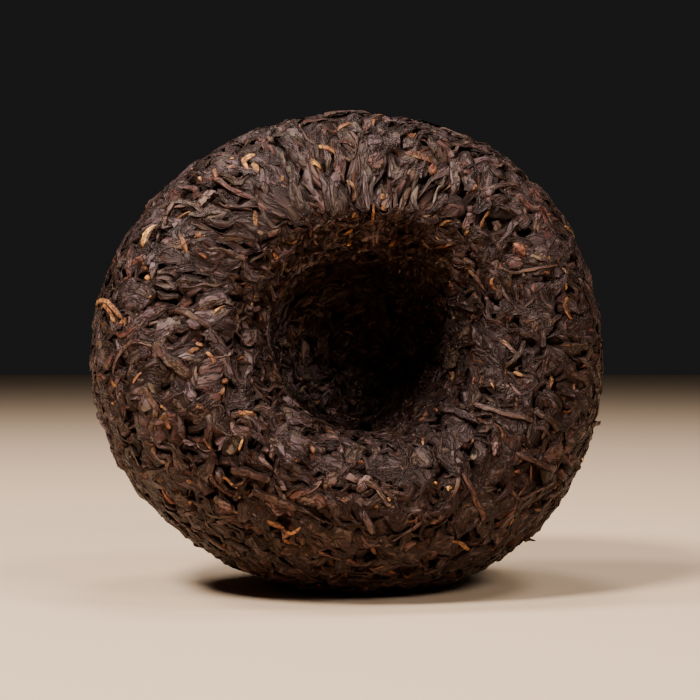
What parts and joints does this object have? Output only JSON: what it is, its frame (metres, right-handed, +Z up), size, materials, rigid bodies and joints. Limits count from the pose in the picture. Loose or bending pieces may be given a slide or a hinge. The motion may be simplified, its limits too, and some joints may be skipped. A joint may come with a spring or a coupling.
{
  "type": "pressed tea nest",
  "caption": "Cake of pressed ripe tea leaves shaped like a small nest, with a domed back, thick rounded rim and deep hollow; it stands on its edge on a small flat spot.",
  "frame": {"origin": "on the flat spot that the cake stands on, straight below its centre of mass", "axes": "+Z up; the hollow opens towards -Y, tilted 17.5 degrees up and turned 11.5 degrees towards +X"},
  "size_m": [0.1035, 0.0784, 0.0965],
  "materials": {
    "tea_leaf": "dark brown pressed leaf, satin, with near-black crevices and a few tan and orange stalks"
  },
  "bodies": {
    "root": {"tuocha": "tea_leaf"}
  },
  "joints": []
}
